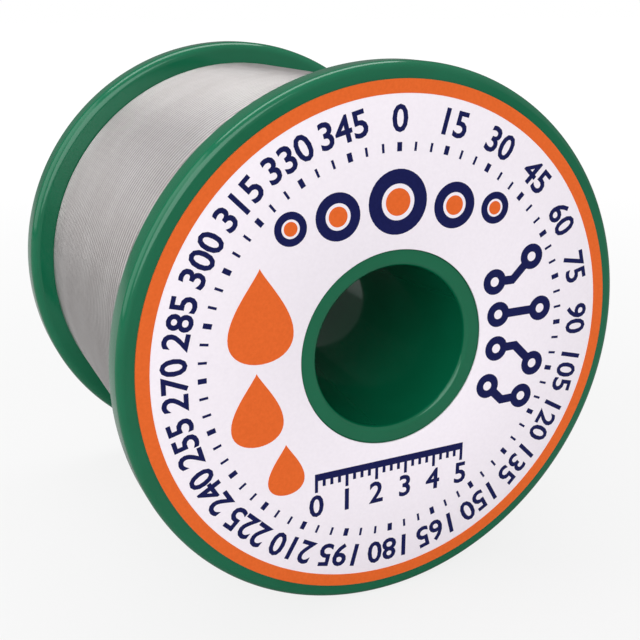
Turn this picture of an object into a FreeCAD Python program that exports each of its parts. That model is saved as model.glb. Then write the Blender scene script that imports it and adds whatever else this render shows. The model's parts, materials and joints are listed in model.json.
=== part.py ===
import FreeCAD, Part
import math
import os
import Sketcher

# A reel of solder wire. Its axle line is Y, its labelled front faces -Y, and +Z is up.
# The origin is the centre of the spindle bore, midway between the two flanges.

document = FreeCAD.newDocument("solder_wire_spool")

# Driving dimensions, in millimetres unless the name says otherwise

SIZES = [
    ("flange_radius", 32.5),
    ("flange_thickness", 4.5),
    ("outer_edge_rounding", 0.9),
    ("wire_side_rounding", 1.3),
    ("winding_width", 46.0),
    ("winding_radius", 29.5),
    ("barrel_radius", 17.4),
    ("barrel_wall", 1.6),
    ("barrel_seat_depth", 1.2),
    ("bore_radius", 9.85),
    ("bore_tube_wall", 1.95),
    ("bore_lip_rounding", 0.6),
    ("label_radius", 30.6),
    ("label_thickness", 0.2),
    ("label_hole_clearance", 0.05),
    ("wire_radius", 0.395),
    ("anchor_hole_clearance", 0.02),
    ("anchor_position", 6.0),
    ("anchor_bend_radius", 1.2),
    ("anchor_tail_length", 6.0),
    ("turn_radius", 0.69),
    ("turn_count", 24),
    ("turn_seat_clearance", 0.02),
    ("turn_end_bend_radius", 1.6),
    ("notch_clearance", 0.15),
]

sheet = document.addObject("Spreadsheet::Sheet", "Sizes")
for row, (alias, value) in enumerate(SIZES, start=1):
    sheet.set("A%d" % row, alias)
    sheet.set("B%d" % row, str(value))
    sheet.setAlias("B%d" % row, alias)
document.recompute()

# Lengths that more than one piece needs, written once as expressions

BORE_TUBE_RADIUS = "Sizes.bore_radius + Sizes.bore_tube_wall"
BARREL_BORE = "Sizes.barrel_radius - Sizes.barrel_wall"
BARREL_LENGTH = "Sizes.winding_width + 2 * Sizes.barrel_seat_depth"
BORE_TUBE_LENGTH = "Sizes.winding_width + 2 * Sizes.flange_thickness"
LABEL_HOLE = "%s + Sizes.label_hole_clearance" % BORE_TUBE_RADIUS
INNER_WINDING_RADIUS = "Sizes.winding_radius - 2 * Sizes.turn_radius - Sizes.turn_seat_clearance"
FRONT, REAR = -1, 1


def evaluated(expression):
    """Value of an expression on the sheet, in millimetres."""
    return float(sheet.evalExpression(expression))


# Turned pieces: an outline of radius and height, spun about the reel's axle line

def outline_sketch(body, outline):
    """Closed sketch through (radius, height) expressions, each bound to its vertex."""
    plane = [item for item in body.Origin.OriginFeatures if item.Role == "XY_Plane"][0]
    sketch = body.newObject("Sketcher::SketchObject", body.Name + "_outline")
    sketch.AttachmentSupport = [(plane, "")]
    sketch.MapMode = "FlatFace"
    corners = [FreeCAD.Vector(evaluated(radius), evaluated(height), 0) for radius, height in outline]
    for index, corner in enumerate(corners):
        sketch.addGeometry(Part.LineSegment(corner, corners[(index + 1) % len(corners)]))
    for index in range(len(corners)):
        following = (index + 1) % len(corners)
        sketch.addConstraint(Sketcher.Constraint("Coincident", index, 2, following, 1))
    for index, (radius, height) in enumerate(outline):
        datum = sketch.addConstraint(
            Sketcher.Constraint("DistanceX", -1, 1, index, 1, corners[index].x))
        sketch.setExpression("Constraints[%d]" % datum, radius)
        if height == "0":
            sketch.addConstraint(Sketcher.Constraint("PointOnObject", index, 1, -1))
            continue
        datum = sketch.addConstraint(
            Sketcher.Constraint("DistanceY", -1, 1, index, 1, corners[index].y))
        sketch.setExpression("Constraints[%d]" % datum, height)
    return sketch


def turned_body(label, outline, base_height, side=REAR):
    """Body spun from its outline, standing at base_height along Y on its own side of the reel."""
    body = document.addObject("PartDesign::Body", label)
    body.Label = label
    sketch = outline_sketch(body, outline)
    spin = body.newObject("PartDesign::Revolution", label + "_spin")
    spin.Profile = sketch
    spin.ReferenceAxis = (sketch, ["V_Axis"])
    spin.Angle = 360
    if side == FRONT:
        body.Placement.Rotation = FreeCAD.Rotation(FreeCAD.Vector(0, 0, 1), 180)
    body.setExpression(".Placement.Base.y", "%d * (%s)" % (side, base_height))
    document.recompute()
    return body


def round_rings(body, rings, radius_alias):
    """Fillet on the circular edges at the given (radius, height) expressions."""
    wanted = [(evaluated(radius), evaluated(height)) for radius, height in rings]
    tip = body.Tip
    tolerance = 1e-4
    names = []
    for number, edge in enumerate(tip.Shape.Edges, start=1):
        if not isinstance(edge.Curve, Part.Circle):
            continue
        for radius, height in wanted:
            if abs(edge.Curve.Radius - radius) < tolerance and abs(edge.Curve.Center.y - height) < tolerance:
                names.append("Edge%d" % number)
    fillet = body.newObject("PartDesign::Fillet", body.Name + "_" + radius_alias)
    fillet.Base = (tip, names)
    fillet.setExpression("Radius", "Sizes." + radius_alias)
    document.recompute()


# Flanges: moulded discs with a seat for the barrel, a plain face for the label and a hub bore

FLANGE_OUTLINE = [
    (BORE_TUBE_RADIUS, "0"),
    (BARREL_BORE, "0"),
    (BARREL_BORE, "Sizes.barrel_seat_depth"),
    ("Sizes.barrel_radius", "Sizes.barrel_seat_depth"),
    ("Sizes.barrel_radius", "0"),
    ("Sizes.flange_radius", "0"),
    ("Sizes.flange_radius", "Sizes.flange_thickness"),
    (BORE_TUBE_RADIUS, "Sizes.flange_thickness"),
]

for label, side in [("front_flange", FRONT), ("rear_flange", REAR)]:
    flange = turned_body(label, FLANGE_OUTLINE, "Sizes.winding_width / 2", side)
    round_rings(flange, [("Sizes.flange_radius", "Sizes.flange_thickness")], "outer_edge_rounding")
    round_rings(flange, [("Sizes.flange_radius", "0")], "wire_side_rounding")


# Bore tube: the spindle's tube, flush with the faces of both flanges, its two mouths rounded

def tube_outline(inner_radius, outer_radius, length):
    """Outline of a plain tube that stands on height 0."""
    return [(inner_radius, "0"), (outer_radius, "0"), (outer_radius, length), (inner_radius, length)]


bore_tube = turned_body(
    "bore_tube",
    tube_outline("Sizes.bore_radius", BORE_TUBE_RADIUS, BORE_TUBE_LENGTH),
    "-(%s) / 2" % BORE_TUBE_LENGTH)
round_rings(
    bore_tube,
    [("Sizes.bore_radius", "0"), ("Sizes.bore_radius", BORE_TUBE_LENGTH)],
    "bore_lip_rounding")


# Barrel tube: the drum that the wire is wound on, with a hole for the wire's inner end

barrel_tube = turned_body(
    "barrel_tube",
    tube_outline(BARREL_BORE, "Sizes.barrel_radius", BARREL_LENGTH),
    "-(%s) / 2" % BARREL_LENGTH)
side_plane = [item for item in barrel_tube.Origin.OriginFeatures if item.Role == "YZ_Plane"][0]
hole_sketch = barrel_tube.newObject("Sketcher::SketchObject", "anchor_hole_outline")
hole_sketch.AttachmentSupport = [(side_plane, "")]
hole_sketch.MapMode = "FlatFace"
HOLE_HEIGHT = "Sizes.barrel_seat_depth + Sizes.anchor_position"
HOLE_RADIUS = "Sizes.wire_radius + Sizes.anchor_hole_clearance"
hole_centre = FreeCAD.Vector(evaluated(HOLE_HEIGHT), 0, 0)
hole_sketch.addGeometry(Part.Circle(hole_centre, FreeCAD.Vector(0, 0, 1), evaluated(HOLE_RADIUS)))
hole_sketch.addConstraint(Sketcher.Constraint("PointOnObject", 0, 3, -1))
datum = hole_sketch.addConstraint(Sketcher.Constraint("DistanceX", -1, 1, 0, 3, hole_centre.x))
hole_sketch.setExpression("Constraints[%d]" % datum, HOLE_HEIGHT)
datum = hole_sketch.addConstraint(Sketcher.Constraint("Radius", 0, evaluated(HOLE_RADIUS)))
hole_sketch.setExpression("Constraints[%d]" % datum, HOLE_RADIUS)
plain_volume = barrel_tube.Shape.Volume
anchor_hole = barrel_tube.newObject("PartDesign::Pocket", "anchor_hole")
anchor_hole.Profile = hole_sketch
anchor_hole.Type = "ThroughAll"
anchor_hole.Reversed = True
document.recompute()
hole_volume = math.pi * evaluated(HOLE_RADIUS) ** 2 * evaluated("Sizes.barrel_wall")
cut_volume = plain_volume - barrel_tube.Shape.Volume
print("anchor hole removes %.3f mm3 of %.3f expected" % (cut_volume, hole_volume))


# Winding: the inner layers are one plain core between the flanges, round the barrel.
# A notch beside each flange, at the bottom, is where the top layer's wire comes up.

inner_winding = turned_body(
    "inner_winding",
    tube_outline("Sizes.barrel_radius", INNER_WINDING_RADIUS, "Sizes.winding_width"),
    "-Sizes.winding_width / 2")

NOTCH_WIDTH = "2 * (Sizes.turn_radius + Sizes.turn_seat_clearance) + Sizes.notch_clearance"
NOTCH_REACH = "Sizes.turn_end_bend_radius + Sizes.turn_radius + Sizes.notch_clearance"
NOTCH_FLOOR = "Sizes.winding_radius - 3 * Sizes.turn_radius - Sizes.turn_end_bend_radius"


def cut_notch(body, name, side, sketch_y):
    """Pocket along Y from sketch_y, open at the bottom, reaching to one side of the middle."""
    plane = [item for item in body.Origin.OriginFeatures if item.Role == "XZ_Plane"][0]
    sketch = body.newObject("Sketcher::SketchObject", name + "_outline")
    sketch.AttachmentSupport = [(plane, "")]
    sketch.MapMode = "FlatFace"
    sketch.setExpression("AttachmentOffset.Base.z", "-(%s)" % sketch_y)
    far_side = side * evaluated(NOTCH_REACH)
    floor = -evaluated(NOTCH_FLOOR)
    below = -evaluated("Sizes.winding_radius")
    corners = [(0, floor), (far_side, floor), (far_side, below), (0, below)]
    points = [FreeCAD.Vector(across, height, 0) for across, height in corners]
    for index, point in enumerate(points):
        sketch.addGeometry(Part.LineSegment(point, points[(index + 1) % len(points)]))
    for index in range(len(points)):
        following = (index + 1) % len(points)
        sketch.addConstraint(Sketcher.Constraint("Coincident", index, 2, following, 1))
    for index in [0, 3]:
        sketch.addConstraint(Sketcher.Constraint("PointOnObject", index, 1, -2))
    for index in [0, 2]:
        sketch.addConstraint(Sketcher.Constraint("Horizontal", index))
    sketch.addConstraint(Sketcher.Constraint("Vertical", 1))
    lengths = [
        ("DistanceX", (0, 1) if side > 0 else (1, 1), (1, 1) if side > 0 else (0, 1), NOTCH_REACH),
        ("DistanceY", (0, 1), (-1, 1), NOTCH_FLOOR),
        ("DistanceY", (3, 1), (-1, 1), "Sizes.winding_radius"),
    ]
    for kind, start, end, expression in lengths:
        datum = sketch.addConstraint(Sketcher.Constraint(kind, *start, *end, evaluated(expression)))
        sketch.setExpression("Constraints[%d]" % datum, expression)
    notch = body.newObject("PartDesign::Pocket", name)
    notch.Profile = sketch
    notch.Type = "Length"
    notch.setExpression("Length", NOTCH_WIDTH)
    document.recompute()


whole_core_volume = inner_winding.Shape.Volume
cut_notch(inner_winding, "front_notch", FRONT, "0")
cut_notch(inner_winding, "rear_notch", REAR, "Sizes.winding_width - (%s)" % NOTCH_WIDTH)
notch_volume = whole_core_volume - inner_winding.Shape.Volume
print("the two notches remove %.2f mm3" % notch_volume)


# Labels: printed discs on the flanges' faces, with a hole round the end of the bore tube

for label, side in [("front_label", FRONT), ("rear_label", REAR)]:
    turned_body(
        label,
        tube_outline(LABEL_HOLE, "Sizes.label_radius", "Sizes.label_thickness"),
        "Sizes.winding_width / 2 + Sizes.flange_thickness",
        side)


# Wire forms: round wire carried along lines and arcs

def wire_solid(edges, radius):
    """Solid round wire along a smooth chain of edges."""
    path = Part.Wire(edges)
    start = path.Edges[0]
    direction = start.tangentAt(start.FirstParameter)
    ring = Part.Wire([Part.Circle(start.valueAt(start.FirstParameter), direction, radius).toShape()])
    shell = Part.BRepOffsetAPI.MakePipeShell(path)
    shell.add(ring, False, False)
    shell.build()
    shell.makeSolid()
    return shell.shape()


def wire_piece(label, edges, radius):
    """Document object that holds a round wire."""
    piece = document.addObject("Part::Feature", label)
    piece.Label = label
    piece.Shape = wire_solid(edges, radius)
    piece.Placement = FreeCAD.Placement()
    return piece


def tangent_arc(start, direction, end):
    """Arc from start, leaving along direction, to end."""
    chord = end - start
    along = FreeCAD.Vector(chord).normalize()
    bulge = (direction - along * direction.dot(along)).normalize()
    half_angle = direction.getAngle(chord) / 2
    middle = start + chord * 0.5 + bulge * (chord.Length / 2 * math.tan(half_angle))
    return Part.Arc(start, middle, end).toShape()


def biarc(start, start_direction, end, end_direction):
    """Two tangent arcs that join two points and leave each along its direction."""
    span = end - start
    total = start_direction + end_direction
    spread = 2 * (1 - start_direction.dot(end_direction))
    lean = span.dot(total)
    reach = (math.sqrt(lean * lean + spread * span.dot(span)) - lean) / spread
    middle = (start + start_direction * reach + end - end_direction * reach) * 0.5
    joint_direction = (end - end_direction * reach - start - start_direction * reach).normalize()
    return [tangent_arc(start, start_direction, middle), tangent_arc(middle, joint_direction, end)]


def least_gap(edges, radius, turn_length):
    """Least gap of a wound wire to itself, measured between points of its centre line."""
    points_per_arc = 12
    points = []
    for edge in edges:
        points.extend(edge.discretize(Number=points_per_arc)[:-1])
    travelled = [0.0]
    for previous, point in zip(points, points[1:]):
        travelled.append(travelled[-1] + previous.distanceToPoint(point))
    nearest = math.inf
    for first, point in enumerate(points):
        for second in range(first + 1, len(points)):
            if travelled[second] - travelled[first] > turn_length / 2:
                nearest = min(nearest, point.distanceToPoint(points[second]))
    return nearest - 2 * radius


# Wire anchor: the wire's inner end, through the barrel's hole and bent along inside it

wire_radius = evaluated("Sizes.wire_radius")
bend = evaluated("Sizes.anchor_bend_radius")
anchor_y = evaluated("Sizes.anchor_position - Sizes.winding_width / 2")
anchor_top = evaluated("Sizes.barrel_radius - Sizes.anchor_hole_clearance")
anchor_start = FreeCAD.Vector(anchor_top, anchor_y, 0)
bend_start = FreeCAD.Vector(evaluated(BARREL_BORE), anchor_y, 0)
bend_end = bend_start + FreeCAD.Vector(-bend, bend, 0)
tail_end = bend_end + FreeCAD.Vector(0, evaluated("Sizes.anchor_tail_length"), 0)
wire_piece(
    "wire_anchor",
    [
        Part.LineSegment(anchor_start, bend_start).toShape(),
        tangent_arc(bend_start, FreeCAD.Vector(-1, 0, 0), bend_end),
        Part.LineSegment(bend_end, tail_end).toShape(),
    ],
    wire_radius)


# Outer winding: the top layer, one wire from flange to flange. Both ends turn inwards and
# stand square on the floors of the core's notches.

turn_radius = evaluated("Sizes.turn_radius")
turn_count = int(evaluated("Sizes.turn_count"))
end_bend = evaluated("Sizes.turn_end_bend_radius")
path_radius = evaluated("Sizes.winding_radius") - turn_radius
half_width = evaluated("Sizes.winding_width") / 2
first_turn_y = -half_width + turn_radius + evaluated("Sizes.turn_seat_clearance")
pitch = -2 * first_turn_y / turn_count
lead_angle = math.atan2(pitch, 2 * math.pi * path_radius)
BOTTOM = -math.pi / 2
UPWARDS = FreeCAD.Vector(0, 0, 1)
HALF_TURNS = 2 * turn_count


def turn_point(half_turns):
    """Point on the layer's helix, counted in half turns from its start at the bottom."""
    angle = BOTTOM + math.pi * half_turns
    height = first_turn_y + pitch * half_turns / 2
    return FreeCAD.Vector(path_radius * math.cos(angle), height, path_radius * math.sin(angle))


def turn_direction(half_turns):
    """Unit tangent of the helix at the same place."""
    angle = BOTTOM + math.pi * half_turns
    level = math.cos(lead_angle)
    return FreeCAD.Vector(-level * math.sin(angle), math.sin(lead_angle), level * math.cos(angle))


def notch_end(point, direction):
    """Bend from the helix straight up into its notch, and the run to the notch's floor."""
    reach = end_bend * math.tan(direction.getAngle(UPWARDS) / 2)
    bend_finish = point + direction * reach + UPWARDS * reach
    foot = FreeCAD.Vector(bend_finish.x, bend_finish.y, -evaluated(NOTCH_FLOOR))
    return bend_finish, foot


front_bend, front_foot = notch_end(turn_point(0), turn_direction(0) * -1)
rear_bend, rear_foot = notch_end(turn_point(HALF_TURNS), turn_direction(HALF_TURNS))
turn_edges = [Part.LineSegment(front_foot, front_bend).toShape()]
turn_edges.append(tangent_arc(front_bend, UPWARDS * -1, turn_point(0)))
for step in range(HALF_TURNS):
    turn_edges.extend(
        biarc(turn_point(step), turn_direction(step), turn_point(step + 1), turn_direction(step + 1)))
turn_edges.append(tangent_arc(turn_point(HALF_TURNS), turn_direction(HALF_TURNS), rear_bend))
turn_edges.append(Part.LineSegment(rear_bend, rear_foot).toShape())
wire_piece("outer_winding", turn_edges, turn_radius)
wound_length = sum(edge.Length for edge in turn_edges)
print("outer winding: %d turns, %.1f mm long" % (turn_count, wound_length))
print("least gap between turns %.3f mm" % least_gap(turn_edges, turn_radius, 2 * math.pi * path_radius))


# Check every object, then write one STEP file for each piece

PIECES = [
    "front_flange",
    "rear_flange",
    "bore_tube",
    "barrel_tube",
    "inner_winding",
    "outer_winding",
    "wire_anchor",
    "front_label",
    "rear_label",
]

document.recompute()
for item in document.Objects:
    if "Invalid" in item.State or "Error" in item.State:
        raise RuntimeError("%s failed to compute" % item.Label)
if not 0.9 < cut_volume / hole_volume < 1.1:
    raise RuntimeError("the anchor hole isn't cut through one wall")
if notch_volume <= 0:
    raise RuntimeError("the notches aren't cut")
os.makedirs("parts", exist_ok=True)
for name in PIECES:
    shape = document.getObject(name).Shape
    if shape.isNull() or not shape.isValid() or len(shape.Solids) != 1:
        raise RuntimeError("%s isn't one valid solid" % name)
    shape.exportStep("parts/%s.step" % name)
    print("%s volume %.1f mm3" % (name, shape.Volume))
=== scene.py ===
import json
import math

import bmesh
import bpy
import numpy as np
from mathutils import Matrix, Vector


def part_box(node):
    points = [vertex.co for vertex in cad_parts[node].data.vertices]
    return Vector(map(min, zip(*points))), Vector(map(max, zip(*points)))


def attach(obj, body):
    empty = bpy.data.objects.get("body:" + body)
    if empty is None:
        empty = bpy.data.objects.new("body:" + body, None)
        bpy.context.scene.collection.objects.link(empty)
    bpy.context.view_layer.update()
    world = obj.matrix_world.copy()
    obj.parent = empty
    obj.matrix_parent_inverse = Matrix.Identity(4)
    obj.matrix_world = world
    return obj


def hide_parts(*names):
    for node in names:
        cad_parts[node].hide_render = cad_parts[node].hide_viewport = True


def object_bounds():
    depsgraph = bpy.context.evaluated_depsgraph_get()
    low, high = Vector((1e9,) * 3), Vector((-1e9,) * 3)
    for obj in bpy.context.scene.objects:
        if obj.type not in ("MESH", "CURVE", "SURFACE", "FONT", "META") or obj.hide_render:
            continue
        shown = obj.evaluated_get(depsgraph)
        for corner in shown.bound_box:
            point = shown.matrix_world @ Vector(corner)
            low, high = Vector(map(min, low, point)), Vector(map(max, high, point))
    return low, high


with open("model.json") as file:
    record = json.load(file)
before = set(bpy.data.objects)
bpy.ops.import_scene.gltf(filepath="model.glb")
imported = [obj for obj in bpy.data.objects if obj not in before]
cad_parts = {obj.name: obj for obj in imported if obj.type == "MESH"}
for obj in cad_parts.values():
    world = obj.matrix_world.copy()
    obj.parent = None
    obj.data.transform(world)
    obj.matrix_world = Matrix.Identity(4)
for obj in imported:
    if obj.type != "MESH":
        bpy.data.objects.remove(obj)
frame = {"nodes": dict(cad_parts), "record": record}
cad_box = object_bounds()
MM = 0.001

# Green moulded plastic of the reel: the bore tube, both flanges and the hidden barrel are
# injection moulded in one polystyrene, glossy where the mould was polished, with a faint
# flow mottle in the colour and a fine orange peel that breaks up the highlights.

PLASTIC_GREEN = (0.002, 0.122, 0.055, 1)
PLASTIC_GREEN_DEEP = (0.002, 0.108, 0.047, 1)
HIGHLIGHT_TINT = (0.75, 1, 0.88, 1)
FLOW_MOTTLE = 9 * MM
ORANGE_PEEL = 0.55 * MM
HANDLING_HAZE = 4 * MM


def add_node(tree, kind, **inputs):
    """One shader node with some of its input sockets set, underscores standing for spaces."""
    made = tree.nodes.new(kind)
    for socket, value in inputs.items():
        made.inputs[socket.replace("_", " ")].default_value = value
    return made


def new_material(name, **inputs):
    """Material with a Principled shader, its sockets set, and the object's coordinates."""
    material = bpy.data.materials.new(name)
    material.use_nodes = True
    tree = material.node_tree
    shader = tree.nodes["Principled BSDF"]
    for socket, value in inputs.items():
        shader.inputs[socket.replace("_", " ")].default_value = value
    coordinates = tree.nodes.new("ShaderNodeTexCoord").outputs["Object"]
    return material, tree, shader, coordinates


def noise_of(tree, coordinates, grain, detail=2.0):
    """Noise, 0 to 1, whose blotches are about one grain across, in metres."""
    noise = add_node(tree, "ShaderNodeTexNoise", Scale=1 / grain, Detail=detail)
    tree.links.new(coordinates, noise.inputs["Vector"])
    return noise.outputs["Fac"]


def feed(tree, value, socket):
    """Links another node's output to the socket, or sets the socket to a plain value."""
    if isinstance(value, bpy.types.NodeSocket):
        tree.links.new(value, socket)
    else:
        socket.default_value = value


def spread_to(tree, value, low, high, start=0.3, end=0.7):
    """The value's stretch from start to end, carried over to low to high."""
    spread = add_node(tree, "ShaderNodeMapRange", From_Min=start, From_Max=end)
    feed(tree, value, spread.inputs["Value"])
    feed(tree, low, spread.inputs["To Min"])
    feed(tree, high, spread.inputs["To Max"])
    return spread.outputs["Result"]


def blend_colours(tree, share, first, second):
    """Colour between the first and the second, by share."""
    mix = tree.nodes.new("ShaderNodeMix")
    mix.data_type = "RGBA"
    colour_a, colour_b = [item for item in mix.inputs if item.type == "RGBA"]
    feed(tree, first, colour_a)
    feed(tree, second, colour_b)
    tree.links.new(share, mix.inputs["Factor"])
    return [item for item in mix.outputs if item.type == "RGBA"][0]


def raise_surface(tree, shader, height, depth):
    """Bump of the given depth, in metres, under the shader."""
    bump = add_node(tree, "ShaderNodeBump", Strength=1.0, Distance=depth)
    tree.links.new(height, bump.inputs["Height"])
    tree.links.new(bump.outputs["Normal"], shader.inputs["Normal"])


def green_plastic(name, clearest, dullest, peel_depth):
    """Moulded green plastic whose roughness lies between the two values."""
    material, tree, shader, place = new_material(
        name, Specular_IOR_Level=0.5, Specular_Tint=HIGHLIGHT_TINT)
    mottle = spread_to(tree, noise_of(tree, place, FLOW_MOTTLE, 3), 0, 1)
    colour = blend_colours(tree, mottle, PLASTIC_GREEN_DEEP, PLASTIC_GREEN)
    tree.links.new(colour, shader.inputs["Base Color"])
    haze = spread_to(tree, noise_of(tree, place, HANDLING_HAZE, 4), clearest, dullest)
    tree.links.new(haze, shader.inputs["Roughness"])
    raise_surface(tree, shader, noise_of(tree, place, ORANGE_PEEL), peel_depth)
    return material


moulded_green = green_plastic("moulded_green_plastic", 0.1, 0.16, 0.003 * MM)
polished_green = green_plastic("polished_green_plastic", 0.05, 0.08, 0.001 * MM)


# Bore tube: a plain tube as long as the reel is wide, which the spindle runs in. Its ends
# stand flush with the flanges' faces, and both mouths are rounded so a spindle finds its way.

BORE_RADIUS = frame["record"]["mounts"][0]["dims"]["r_mm"] * MM
LIP_ROUNDING = 0.6 * MM
SEAM_ROUNDING = 0.12 * MM
TUBE_LOW, TUBE_HIGH = (np.array(corner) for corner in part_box("bore_tube"))
TUBE_RADIUS = TUBE_HIGH[0]


def rounded_outline(corners, arc_points=10):
    """Closed outline through (radius, height, rounding) corners. Each corner is swept by a
    circle that touches both its sides: centre on the bisector, at rounding over the sine of
    half the angle, and points spread evenly over the arc between the touching points."""
    points = []
    count = len(corners)
    for index, (across, along, rounding) in enumerate(corners):
        here = np.array([across, along])
        before = np.array(corners[index - 1][:2]) - here
        after = np.array(corners[(index + 1) % count][:2]) - here
        before /= np.linalg.norm(before)
        after /= np.linalg.norm(after)
        if rounding == 0:
            points.append(here[None])
            continue
        half = math.acos(np.clip(before @ after, -1, 1)) / 2
        bisector = (before + after) / np.linalg.norm(before + after)
        centre = here + bisector * rounding / math.sin(half)
        touch = here + before * rounding / math.tan(half) - centre
        finish = here + after * rounding / math.tan(half) - centre
        share = np.linspace(0, 1, arc_points)[:, None]
        swing = math.pi - 2 * half
        arc = (np.sin((1 - share) * swing) * touch + np.sin(share * swing) * finish) / math.sin(swing)
        points.append(centre + arc)
    return np.concatenate(points)


def mesh_piece(name, points, faces, material, smooth=True):
    """Object at the origin from an array of points and an array of faces, on the root body."""
    mesh = bpy.data.meshes.new(name)
    mesh.from_pydata(points.reshape(-1, 3).tolist(), [], [list(face) for face in faces])
    mesh.polygons.foreach_set("use_smooth", np.full(len(mesh.polygons), smooth))
    mesh.materials.append(material)
    mesh.update()
    piece = bpy.data.objects.new(name, mesh)
    bpy.context.scene.collection.objects.link(piece)
    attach(piece, "root")
    return piece


def ring_faces(around, along):
    """Quads of a grid that closes both ways: around steps of an outline of along points."""
    row, column = np.meshgrid(np.arange(around), np.arange(along), indexing="ij")
    next_row, next_column = (row + 1) % around, (column + 1) % along
    quads = [row * along + column, row * along + next_column]
    quads += [next_row * along + next_column, next_row * along + column]
    return np.stack(quads, axis=-1).reshape(-1, 4)


def turned_piece(name, outline, material, around=256, smooth=True):
    """An outline of (radius, height) points, counterclockwise, carried round the Y axis:
    x is radius times cosine, z radius times sine, and y the height."""
    angle = np.linspace(0, 2 * math.pi, around, endpoint=False)[:, None]
    radius, height = outline[:, 0], outline[:, 1]
    points = np.stack(
        [radius * np.cos(angle), np.broadcast_to(height, (around, len(height))), radius * np.sin(angle)],
        axis=-1)
    return mesh_piece(name, points, ring_faces(around, len(outline)), material, smooth)


bore_tube = turned_piece(
    "spindle_tube",
    rounded_outline([
        (BORE_RADIUS, TUBE_LOW[1], LIP_ROUNDING),
        (TUBE_RADIUS, TUBE_LOW[1], SEAM_ROUNDING),
        (TUBE_RADIUS, TUBE_HIGH[1], SEAM_ROUNDING),
        (BORE_RADIUS, TUBE_HIGH[1], LIP_ROUNDING),
    ]),
    polished_green)
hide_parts("bore_tube")
frame["nodes"]["barrel_tube"].data.materials.clear()
frame["nodes"]["barrel_tube"].data.materials.append(moulded_green)


# Flanges: two equal moulded discs pressed on the ends of the bore tube and the barrel. The
# outer corner is a tight rounding that catches the light, the wire's side a soft one. A ring
# groove in the wire's side is the barrel's seat.

RIM_ROUNDING = 0.9 * MM
WIRE_SIDE_ROUNDING = 1.3 * MM
BARREL_WALL = 1.6 * MM
INNER_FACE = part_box("inner_winding")[1][1]
BARREL_RADIUS, SEAT_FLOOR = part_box("barrel_tube")[1][:2]

for node, name, side in [("front_flange", "front_disc", -1), ("rear_flange", "rear_disc", 1)]:
    flange_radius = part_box(node)[1][0]
    face = side * TUBE_HIGH[1]
    inner = side * INNER_FACE
    corners = [
        (TUBE_RADIUS, inner, SEAM_ROUNDING),
        (BARREL_RADIUS - BARREL_WALL, inner, SEAM_ROUNDING),
        (BARREL_RADIUS - BARREL_WALL, side * SEAT_FLOOR, 0),
        (BARREL_RADIUS, side * SEAT_FLOOR, 0),
        (BARREL_RADIUS, inner, SEAM_ROUNDING),
        (flange_radius, inner, WIRE_SIDE_ROUNDING),
        (flange_radius, face, RIM_ROUNDING),
        (TUBE_RADIUS, face, SEAM_ROUNDING),
    ]
    flange = turned_piece(name, rounded_outline(corners[::side]), moulded_green, around=360)
    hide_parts(node)


# Inner layers of wire: turns lie side by side on the barrel, and only the layer under the top one shows,
# as dark grooves between the top turns.
# That darkness is painted shade: the wire's colour darkens towards the reel's axis.

WIRE_RADIUS = 0.395 * MM
WINDING_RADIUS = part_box("outer_winding")[1][2]
CORE_LOW, CORE_HIGH = (np.array(corner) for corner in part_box("inner_winding"))
TURN_COUNT = round((CORE_HIGH[1] - CORE_LOW[1]) / (2 * WIRE_RADIUS)) - 1
TURN_PITCH = (CORE_HIGH[1] - CORE_LOW[1] - 2 * WIRE_RADIUS) / TURN_COUNT
LAYER_RISE = math.sqrt(3) * WIRE_RADIUS

RIB_POINTS = 6
# Painted shade in the grooves: below these radii the wire's colour darkens to a near-black grey.
SHADE_FOOT = WINDING_RADIUS - 0.2 * MM
SHADE_TOP = WINDING_RADIUS - 0.035 * MM
GROOVE_SHADE = (0.07, 0.06, 0.058, 1)
DULL_SOLDER = (0.49, 0.465, 0.46, 1)
BRIGHT_SOLDER = (0.55, 0.53, 0.525, 1)


def length_of(tree, vector):
    """Length of a vector."""
    measure = tree.nodes.new("ShaderNodeVectorMath")
    measure.operation = "LENGTH"
    tree.links.new(vector, measure.inputs[0])
    return measure.outputs["Value"]


solder_metal, tree, shader, place = new_material("solder_wire_metal", Metallic=1.0)
tarnish = spread_to(tree, noise_of(tree, place, 7 * MM, 4), 0, 1)
metal = blend_colours(tree, tarnish, DULL_SOLDER, BRIGHT_SOLDER)
across_axis = tree.nodes.new("ShaderNodeVectorMath")
across_axis.operation = "MULTIPLY"
across_axis.inputs[1].default_value = (1, 0, 1)
tree.links.new(place, across_axis.inputs[0])
from_axis = length_of(tree, across_axis.outputs["Vector"])
# Painted shade: the metal darkens the nearer it lies to the axis, in the grooves between the turns and
# over the whole inner layers.
unshaded = spread_to(tree, from_axis, 0, 1, SHADE_FOOT, SHADE_TOP)
tree.links.new(blend_colours(tree, unshaded, GROOVE_SHADE, metal), shader.inputs["Base Color"])
tree.links.new(
    spread_to(tree, noise_of(tree, place, 1.6 * MM, 3), 0.36, 0.46), shader.inputs["Roughness"])
raise_surface(tree, shader, noise_of(tree, place, 0.25 * MM), 0.004 * MM)

rib = np.arange(TURN_COUNT * RIB_POINTS + 1) / RIB_POINTS
rib_height = np.abs(np.sin(math.pi * rib)) * WIRE_RADIUS
ribbed = WINDING_RADIUS - WIRE_RADIUS - LAYER_RISE + rib_height
ribbed_edge = np.stack([ribbed, CORE_LOW[1] + WIRE_RADIUS + rib * TURN_PITCH], axis=-1)
core_outline = np.concatenate([
    [[BARREL_RADIUS, CORE_HIGH[1]], [BARREL_RADIUS, CORE_LOW[1]]],
    [[ribbed[0], CORE_LOW[1]]],
    ribbed_edge,
    [[ribbed[-1], CORE_HIGH[1]]],
])
inner_layers = turned_piece("inner_layers", core_outline, solder_metal, around=180)
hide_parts("inner_winding")
frame["nodes"]["wire_anchor"].data.materials.clear()
frame["nodes"]["wire_anchor"].data.materials.append(solder_metal)


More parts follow.
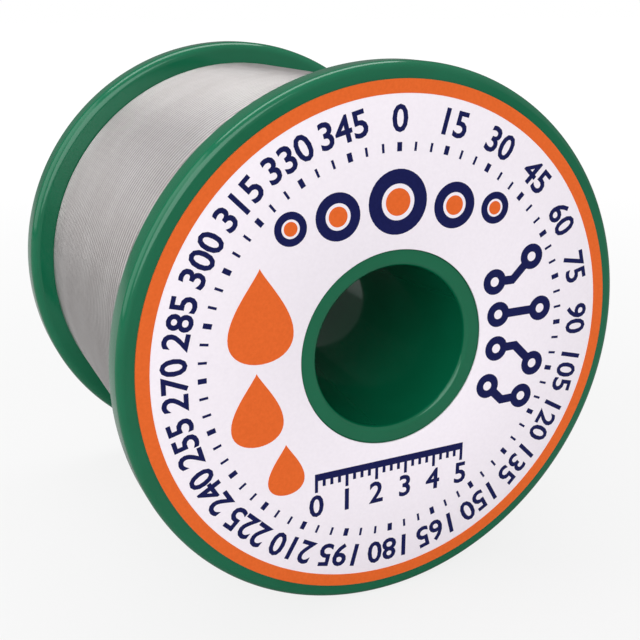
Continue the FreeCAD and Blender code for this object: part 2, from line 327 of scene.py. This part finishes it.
# Top layer: one wire wound from flange to flange, each turn against the last. The machine
# lays it evenly, but the wire springs a little, so the turns stray by a hundredth of a
# millimetre. Both ends dip between the inner turns at the bottom, beside the flanges.

STEPS_PER_TURN = 160
SIDES = 10
STRAY = 0.014 * MM
DIP_DEPTH = 1.3 * MM
DIP_TURNS = 0.07

turned = np.arange(TURN_COUNT * STEPS_PER_TURN + 1) / STEPS_PER_TURN
angle = 2 * math.pi * turned - math.pi / 2
sway = np.sin(angle * 1.37 + 0.8) + np.sin(angle * 0.313 + 2.1) + np.sin(angle * 2.71)
lift = np.sin(angle * 1.13 + 0.5) + np.sin(angle * 0.47 + 1.2)
from_end = np.minimum(turned, TURN_COUNT - turned)
dip = DIP_DEPTH * np.cos(math.pi / 2 * np.clip(from_end / DIP_TURNS, 0, 1)) ** 2
centre_y = CORE_LOW[1] + WIRE_RADIUS + TURN_PITCH * turned + STRAY * sway / 3
centre_radius = WINDING_RADIUS - WIRE_RADIUS - STRAY * (1 + lift / 2) / 4 - dip
around_wire = np.linspace(0, 2 * math.pi, SIDES, endpoint=False)
out = np.cos(around_wire)[None] * WIRE_RADIUS + centre_radius[:, None]
wire_points = np.stack([
    out * np.cos(angle)[:, None],
    centre_y[:, None] + np.sin(around_wire)[None] * WIRE_RADIUS,
    out * np.sin(angle)[:, None],
], axis=-1)
row, column = np.meshgrid(np.arange(len(angle) - 1), np.arange(SIDES), indexing="ij")
next_column = (column + 1) % SIDES
wire_faces = np.stack([
    row * SIDES + column,
    row * SIDES + next_column,
    (row + 1) * SIDES + next_column,
    (row + 1) * SIDES + column,
], axis=-1).reshape(-1, 4)
first_end = list(range(SIDES))[::-1]
last_end = list(range((len(angle) - 1) * SIDES, len(angle) * SIDES))
top_layer = mesh_piece(
    "top_layer", wire_points, wire_faces.tolist() + [first_end, last_end], solder_metal)
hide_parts("outer_winding")


# Labels: discs of coated paper stuck on the flanges' faces, punched to clear the bore tube.

LABEL_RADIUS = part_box("front_label")[1][0]
LABEL_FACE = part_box("rear_label")[1][1]
LABEL_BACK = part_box("rear_label")[0][1]
LABEL_HOLE = TUBE_RADIUS + 0.05 * MM
PAPER_ROUNDING = 0.05 * MM
PAPER_SHADE = (0.89, 0.83, 0.895, 1)
PAPER_WHITE = (0.92, 0.86, 0.925, 1)

label_paper, tree, shader, place = new_material("coated_label_paper", Specular_IOR_Level=0.3)
fibre = spread_to(tree, noise_of(tree, place, 0.4 * MM, 4), 0, 1)
tree.links.new(
    blend_colours(tree, fibre, PAPER_SHADE, PAPER_WHITE), shader.inputs["Base Color"])
tree.links.new(
    spread_to(tree, noise_of(tree, place, 2.5 * MM, 3), 0.42, 0.55), shader.inputs["Roughness"])
raise_surface(tree, shader, noise_of(tree, place, 0.2 * MM, 3), 0.002 * MM)

for node, name, side in [("front_label", "front_paper", -1), ("rear_label", "rear_paper", 1)]:
    corners = [
        (LABEL_HOLE, side * LABEL_BACK, 0),
        (LABEL_RADIUS, side * LABEL_BACK, 0),
        (LABEL_RADIUS, side * LABEL_FACE, PAPER_ROUNDING),
        (LABEL_HOLE, side * LABEL_FACE, PAPER_ROUNDING),
    ]
    label = turned_piece(name, rounded_outline(corners[::side], 4), label_paper, around=360)
    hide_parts(node)


# Printed borders: an orange stripe of ink round each label's edge, run off the cut. All ink
# stands a little over the paper, and reaches half as far into it, so that nothing lies flush.

INK_HEIGHT = 0.02 * MM
INK_ROOT = 0.01 * MM
BORDER_WIDTH = 1.5 * MM
BORDER_FOOT = LABEL_BACK + 0.005 * MM


def ink(name, dark, bright):
    """Printing ink whose coverage varies with the paper's fibres."""
    material, tree, shader, place = new_material(name, Specular_IOR_Level=0.1)
    coverage = spread_to(tree, noise_of(tree, place, 0.3 * MM, 4), 0, 1)
    tree.links.new(blend_colours(tree, coverage, dark, bright), shader.inputs["Base Color"])
    sheen = spread_to(tree, noise_of(tree, place, 2.5 * MM, 3), 0.38, 0.5)
    tree.links.new(sheen, shader.inputs["Roughness"])
    raise_surface(tree, shader, noise_of(tree, place, 0.2 * MM, 3), 0.002 * MM)
    return material


orange_ink = ink("orange_ink", (0.74, 0.125, 0.021, 1), (0.80, 0.142, 0.026, 1))
navy_ink = ink("navy_ink", (0.006, 0.008, 0.068, 1), (0.008, 0.011, 0.082, 1))

for name, side in [("front_border", -1), ("rear_border", 1)]:
    ink_top = side * (LABEL_FACE + INK_HEIGHT)
    ink_root = side * (LABEL_FACE - INK_ROOT)
    foot = side * BORDER_FOOT
    outline = np.array([
        (LABEL_RADIUS - BORDER_WIDTH, ink_root),
        (LABEL_RADIUS - INK_ROOT, ink_root),
        (LABEL_RADIUS - INK_ROOT, foot),
        (LABEL_RADIUS + INK_HEIGHT, foot),
        (LABEL_RADIUS + INK_HEIGHT, ink_top),
        (LABEL_RADIUS - BORDER_WIDTH, ink_top),
    ])
    turned_piece(name, outline[::side], orange_ink, around=360, smooth=False)


# Printed dials: a scale of plain numbers and short strokes inside each border, in navy ink.
# This print and those after it are laid out in millimetres.

BOLDER = 0.08
DIAL_STEP = 15
STROKE_STEP = 5
NUMBER_CENTRE = 26.3
NUMBER_SIZE = 4.1
STROKE_INNER = 22.9
STROKE_OUTER = 23.9
STROKE_WIDTH = 0.3
WELD = 0.0005


def flat_print(curve, across=0, up=0, turn=0):
    """Closed print from a flat curve, turned, then moved across and up. The result holds
    points (across, up, height over the paper), in metres, and faces."""
    curve.dimensions = "2D"
    curve.fill_mode = "BOTH"
    curve.extrude = (INK_HEIGHT + INK_ROOT) / 2 / MM
    carrier = bpy.data.objects.new("carrier", curve)
    mesh = bpy.data.meshes.new_from_object(carrier)
    welded = bmesh.new()
    welded.from_mesh(mesh)
    bmesh.ops.remove_doubles(welded, verts=welded.verts, dist=WELD)
    welded.to_mesh(mesh)
    welded.free()
    points = np.empty(len(mesh.vertices) * 3)
    mesh.vertices.foreach_get("co", points)
    points = points.reshape(-1, 3)
    faces = [list(face.vertices) for face in mesh.polygons]
    bpy.data.objects.remove(carrier)
    bpy.data.curves.remove(curve)
    bpy.data.meshes.remove(mesh)
    cosine, sine = math.cos(turn), math.sin(turn)
    placed = np.stack([
        points[:, 0] * cosine - points[:, 1] * sine + across,
        points[:, 0] * sine + points[:, 1] * cosine + up,
        points[:, 2] + (INK_HEIGHT - INK_ROOT) / 2 / MM,
    ], axis=-1)
    return placed * MM, faces


def shape_print(outlines, *place):
    """Print from closed outlines of (across, up) points. One inside another is a hole."""
    curve = bpy.data.curves.new("shape", "CURVE")
    for outline in outlines:
        spline = curve.splines.new("POLY")
        spline.points.add(len(outline) - 1)
        points = np.zeros((len(outline), 4))
        points[:, :2] = outline
        spline.points.foreach_set("co", points.ravel())
        spline.use_cyclic_u = True
    return flat_print(curve, *place)


def bolder_outline(outline):
    """Outline of part of a digit, its edges moved out to thicken the stroke. Points closer than
    that go first. A corner moves along the sum of both normals over one plus their product."""
    gap = np.linalg.norm(np.roll(outline, -1, axis=0) - outline, axis=1)
    outline = outline[gap > BOLDER]
    along = np.roll(outline, -1, axis=0) - outline
    along /= np.linalg.norm(along, axis=1)[:, None]
    normal = np.stack([along[:, 1], -along[:, 0]], axis=-1)
    before = np.roll(normal, 1, axis=0)
    return outline + BOLDER * (normal + before) / (1 + (normal * before).sum(axis=1))[:, None]


def number_print(number, size, *place):
    """A plain number in Blender's own font, made bolder, centred on its place. The wire mesh of
    the text holds each outline's points in order, and no edge leads on from an outline's last."""
    curve = bpy.data.curves.new("number", "FONT")
    curve.body = str(number)
    curve.size = size
    curve.resolution_u = 3
    curve.align_x = "CENTER"
    curve.align_y = "CENTER"
    curve.dimensions = "2D"
    curve.fill_mode = "NONE"
    carrier = bpy.data.objects.new("carrier", curve)
    mesh = bpy.data.meshes.new_from_object(carrier)
    points = np.array([vertex.co[:2] for vertex in mesh.vertices])
    edges = {tuple(sorted(edge.vertices)) for edge in mesh.edges}
    ends = [index + 1 for index in range(len(points) - 1) if (index, index + 1) not in edges]
    bpy.data.objects.remove(carrier)
    bpy.data.curves.remove(curve)
    bpy.data.meshes.remove(mesh)
    return shape_print([bolder_outline(outline) for outline in np.split(points, ends)], *place)


def stroke(start, finish, width):
    """Outline of a straight stroke between two (across, up) points."""
    start, finish = np.array(start), np.array(finish)
    along = (finish - start) / np.linalg.norm(finish - start)
    aside = np.array([-along[1], along[0]]) * width / 2
    return np.array([start - aside, finish - aside, finish + aside, start + aside])


def printed_piece(name, prints, side, material):
    """One piece from several prints: across is side's own right, and the height leaves the paper."""
    points, faces = [], []
    for print_points, print_faces in prints:
        offset = sum(len(item) for item in points)
        points.append(print_points)
        faces += [[corner + offset for corner in face] for face in print_faces]
    across, up, height = np.concatenate(points).T
    placed = np.stack([-side * across, side * (LABEL_FACE + height), up], axis=-1)
    return mesh_piece(name, placed, faces, material, smooth=False)


for name, side in [("front_dial", -1), ("rear_dial", 1)]:
    prints = []
    for degrees in range(0, 360, DIAL_STEP):
        bearing = math.radians(degrees)
        across, up = math.sin(bearing) * NUMBER_CENTRE, math.cos(bearing) * NUMBER_CENTRE
        prints.append(number_print(degrees, NUMBER_SIZE, across, up, -bearing))
    strokes = []
    for degrees in range(0, 360, STROKE_STEP):
        bearing = math.radians(degrees)
        outward = np.array([math.sin(bearing), math.cos(bearing)])
        width = STROKE_WIDTH * (2 if degrees % DIAL_STEP == 0 else 1)
        strokes.append(stroke(outward * STROKE_INNER, outward * STROKE_OUTER, width))
    prints.append(shape_print(strokes))
    printed_piece(name, prints, side, navy_ink)


# Printed wire sections: a row of navy rings with orange cores above the bore, the largest in
# the middle. They stand for cored wire cut across.

SECTION_RADII = [1.9, 2.7, 3.7, 2.7, 1.9]
SECTION_GAP = 1.0
SECTION_BASE = 13.6
CORE_SHARE = 0.42
CORE_CLEAR = 0.14


def disc(across, up, radius, points=36):
    """Outline of a round spot."""
    angle = np.linspace(0, 2 * math.pi, points, endpoint=False)
    return np.stack([across + radius * np.cos(angle), up + radius * np.sin(angle)], axis=-1)


rings, cores = [], []
left = -sum(SECTION_RADII) - SECTION_GAP * (len(SECTION_RADII) - 1) / 2
for radius in SECTION_RADII:
    centre = (left + radius, SECTION_BASE + radius)
    rings += [disc(*centre, radius), disc(*centre, radius * (CORE_SHARE + CORE_CLEAR))]
    cores.append(disc(*centre, radius * CORE_SHARE))
    left += 2 * radius + SECTION_GAP
printed_piece("front_sections", [shape_print(rings)], -1, navy_ink)
printed_piece("front_cores", [shape_print(cores)], -1, orange_ink)


# Printed drops: three orange drops of falling size along the label's left side.

DROPS = [(-16.6, 6.2, 5.4), (-17.2, -4.6, 4.4), (-13.8, -12.6, 3.2)]


def drop(across, up, half_height, points=48):
    """Outline of a drop: up is the cosine of the angle, across its sine times the sine of half
    the angle to the power 1.4, both times the half height."""
    angle = np.linspace(0, 2 * math.pi, points, endpoint=False)
    swell = np.abs(np.sin(angle / 2)) ** 1.4
    return np.stack([
        across + half_height * np.sin(angle) * swell,
        up + half_height * np.cos(angle),
    ], axis=-1)


printed_piece("front_drops", [shape_print([drop(*item) for item in DROPS])], -1, orange_ink)


# Printed tracks: navy lines with bends and round pads, as on a circuit board, at the right.

TRACK_WIDTH = 1.1
PAD_RADIUS = 1.6
PAD_HOLE = 0.6
PAD_POINTS = 24
TRACKS = [
    [(13.6, 6.4), (16.2, 6.4), (18.8, 9.0)],
    [(14.4, 2.2), (20.6, 2.2)],
    [(14.4, -2.2), (17.2, -2.2), (20.0, -5.0)],
    [(13.4, -7.0), (15.6, -9.2), (18.6, -9.2)],
]


def track_outline(points):
    """Outline of a line with a round pad at each end: round the first pad, along the line's
    right edge, round the last pad and back. At a bend an edge lies half a width along the sum
    of both normals over one plus their product."""
    points = np.array(points)
    along = np.diff(points, axis=0)
    along /= np.linalg.norm(along, axis=1)[:, None]
    normal = np.stack([-along[:, 1], along[:, 0]], axis=-1)
    bend = (normal[:-1] + normal[1:]) / (1 + (normal[:-1] * normal[1:]).sum(axis=1))[:, None]
    opening = math.asin(TRACK_WIDTH / 2 / PAD_RADIUS)
    sweep = np.linspace(opening, 2 * math.pi - opening, PAD_POINTS)[:, None]
    pads = []
    for centre, ahead in [(points[0], along[0]), (points[-1], -along[-1])]:
        aside = np.array([-ahead[1], ahead[0]])
        pads.append(centre + PAD_RADIUS * (np.cos(sweep) * ahead + np.sin(sweep) * aside))
    edge = bend * TRACK_WIDTH / 2
    return np.concatenate([pads[0], points[1:-1] - edge, pads[1], (points[1:-1] + edge)[::-1]])


outlines = []
for track in TRACKS:
    outlines.append(track_outline(track))
    outlines += [disc(*track[0], PAD_HOLE, PAD_POINTS), disc(*track[-1], PAD_HOLE, PAD_POINTS)]
printed_piece("front_tracks", [shape_print(outlines)], -1, navy_ink)


# Printed ruler: a navy comb below the bore, a stroke each millimetre, with plain numbers.

RULER_UP = -14.0
RULER_THICKNESS = 0.9
RULER_STROKES = 21
RULER_NUMBERED = 4
RULER_STROKE = 0.4
LONG_STROKE = 1.5
SHORT_STROKE = 0.8
RULER_NUMBER_SIZE = 3.9
RULER_NUMBER_UP = RULER_UP - 4.3

last = (RULER_STROKES - 1) / 2
edge = last + RULER_STROKE / 2
comb = [(-edge, RULER_UP), (edge, RULER_UP)]
base = RULER_UP - RULER_THICKNESS
marks = []
for step in range(RULER_STROKES):
    across = last - step
    tip = base - (LONG_STROKE if step % RULER_NUMBERED == 0 else SHORT_STROKE)
    right, left = across + RULER_STROKE / 2, across - RULER_STROKE / 2
    comb += [(right, base), (right, tip), (left, tip), (left, base)]
    if step % RULER_NUMBERED == 0:
        number = (RULER_STROKES - 1 - step) // RULER_NUMBERED
        marks.append(number_print(number, RULER_NUMBER_SIZE, across, RULER_NUMBER_UP))
marks.append(shape_print([np.array(comb)]))
printed_piece("front_ruler", marks, -1, navy_ink)


# Floor and backdrop: a pale floor that the camera sees as white, with the reel's soft shadow
# near it. All other rays see the floor as it is lit.

FLOOR_Z = cad_box[0][2]
REACH = 3.0
SHADOW_SHARE = 0.2
SHADOW_CORE = 0.08
SHADOW_REACH = 0.35
SHOWN_WHITE = 1.04

floor_paint, tree, shader, place = new_material(
    "white_floor", Base_Color=(0.4, 0.4, 0.4, 1), Roughness=0.8)
glow = add_node(tree, "ShaderNodeEmission", Color=(1, 1, 1, 1), Strength=SHOWN_WHITE)
path = tree.nodes.new("ShaderNodeLightPath")
shown = spread_to(
    tree, length_of(tree, place), 1 - SHADOW_SHARE, 1, SHADOW_CORE, SHADOW_REACH)
to_camera = spread_to(tree, path.outputs["Is Camera Ray"], 0, shown, 0, 1)
mixed = tree.nodes.new("ShaderNodeMixShader")
tree.links.new(to_camera, mixed.inputs["Fac"])
tree.links.new(shader.outputs["BSDF"], mixed.inputs[1])
tree.links.new(glow.outputs["Emission"], mixed.inputs[2])
tree.links.new(mixed.outputs["Shader"], tree.nodes["Material Output"].inputs["Surface"])
floor_mesh = bpy.data.meshes.new("floor")
floor_corners = [(x * REACH, y * REACH, FLOOR_Z) for x, y in [(-1, -1), (1, -1), (1, 1), (-1, 1)]]
floor_mesh.from_pydata(floor_corners, [], [(0, 1, 2, 3)])
floor_mesh.materials.append(floor_paint)
floor = bpy.data.objects.new("floor", floor_mesh)
bpy.context.scene.collection.objects.link(floor)


# Studio: the camera sees white all round, and gloss shows a room that is dim behind the reel
# and brighter in front, as the photograph's reflections do. Three softboxes light the reel.

ROOM_LIGHT = 0.5
GLOSS_BEHIND = 0.2
GLOSS_FRONT = 0.62
FORWARDS = (0, -0.9, 0.4)

world = bpy.data.worlds.new("studio")
bpy.context.scene.world = world
world.use_nodes = True
tree = world.node_tree
room = tree.nodes["Background"]
room.inputs["Color"].default_value = (1, 1, 1, 1)
path = tree.nodes.new("ShaderNodeLightPath")
forwards = tree.nodes.new("ShaderNodeVectorMath")
forwards.operation = "DOT_PRODUCT"
forwards.inputs[1].default_value = FORWARDS
tree.links.new(tree.nodes.new("ShaderNodeTexCoord").outputs["Generated"], forwards.inputs[0])
in_gloss = spread_to(tree, forwards.outputs["Value"], GLOSS_BEHIND, GLOSS_FRONT, -0.2, 0.5)
off_camera = spread_to(tree, path.outputs["Is Glossy Ray"], ROOM_LIGHT, in_gloss, 0, 1)
strength = spread_to(tree, path.outputs["Is Camera Ray"], off_camera, 1, 0, 1)
tree.links.new(strength, room.inputs["Strength"])


def softbox(name, direction, distance, width, height, level):
    """Area light in a direction from the reel, facing it. At level 1 it alone would light a
    white surface that faces it to white: its power is level times pi squared times the
    distance squared."""
    lamp = bpy.data.lights.new(name, "AREA")
    lamp.shape = "RECTANGLE"
    lamp.size = width
    lamp.size_y = height
    lamp.energy = level * (math.pi * distance) ** 2
    box = bpy.data.objects.new(name, lamp)
    towards = Vector(direction).normalized()
    box.location = towards * distance
    box.rotation_mode = "QUATERNION"
    box.rotation_quaternion = towards.to_track_quat("Z", "Y")
    bpy.context.scene.collection.objects.link(box)


softbox("overhead_softbox", (0.0, 0.22, 0.97), 0.5, 0.55, 0.22, 0.64)
softbox("left_softbox", (-0.85, 0.1, 0.45), 0.9, 0.9, 0.9, 0.5)
softbox("front_softbox", (-0.4, -0.8, 0.45), 1.1, 0.95, 0.95, 0.66)


# Camera: the photograph's view, fitted to the ellipses of the label, the rims and the bore.
# Distances along its axes are in label radii, from the camera to the label's centre.

FRAME_PIXELS = 640
FOCAL_PIXELS = 959.4
VIEW_CENTRE = (318.1, 312.3)
LABEL_CENTRE_SEEN = (0.2894, 0.1392, 3.6422)
AZIMUTH = math.radians(-25.25)
ELEVATION = math.radians(18.04)

backward = np.array([
    math.sin(AZIMUTH) * math.cos(ELEVATION),
    -math.cos(AZIMUTH) * math.cos(ELEVATION),
    math.sin(ELEVATION)])
rightward = np.array([math.cos(AZIMUTH), math.sin(AZIMUTH), 0])
upward = np.cross(backward, rightward)
right_by, down_by, ahead_by = np.array(LABEL_CENTRE_SEEN) * LABEL_RADIUS
label_centre = np.array([0, -LABEL_FACE, 0])
camera_data = bpy.data.cameras.new("camera")
camera_data.lens = FOCAL_PIXELS / FRAME_PIXELS * camera_data.sensor_width
camera_data.shift_x = 0.5 - VIEW_CENTRE[0] / FRAME_PIXELS
camera_data.shift_y = VIEW_CENTRE[1] / FRAME_PIXELS - 0.5
camera_data.clip_start = 0.01
camera = bpy.data.objects.new("camera", camera_data)
camera.location = label_centre - right_by * rightward + down_by * upward + ahead_by * backward
camera.rotation_mode = "QUATERNION"
camera.rotation_quaternion = Vector(-backward).to_track_quat("-Z", "Y")
bpy.context.scene.collection.objects.link(camera)
bpy.context.scene.camera = camera
bpy.context.scene.view_settings.view_transform = "Standard"
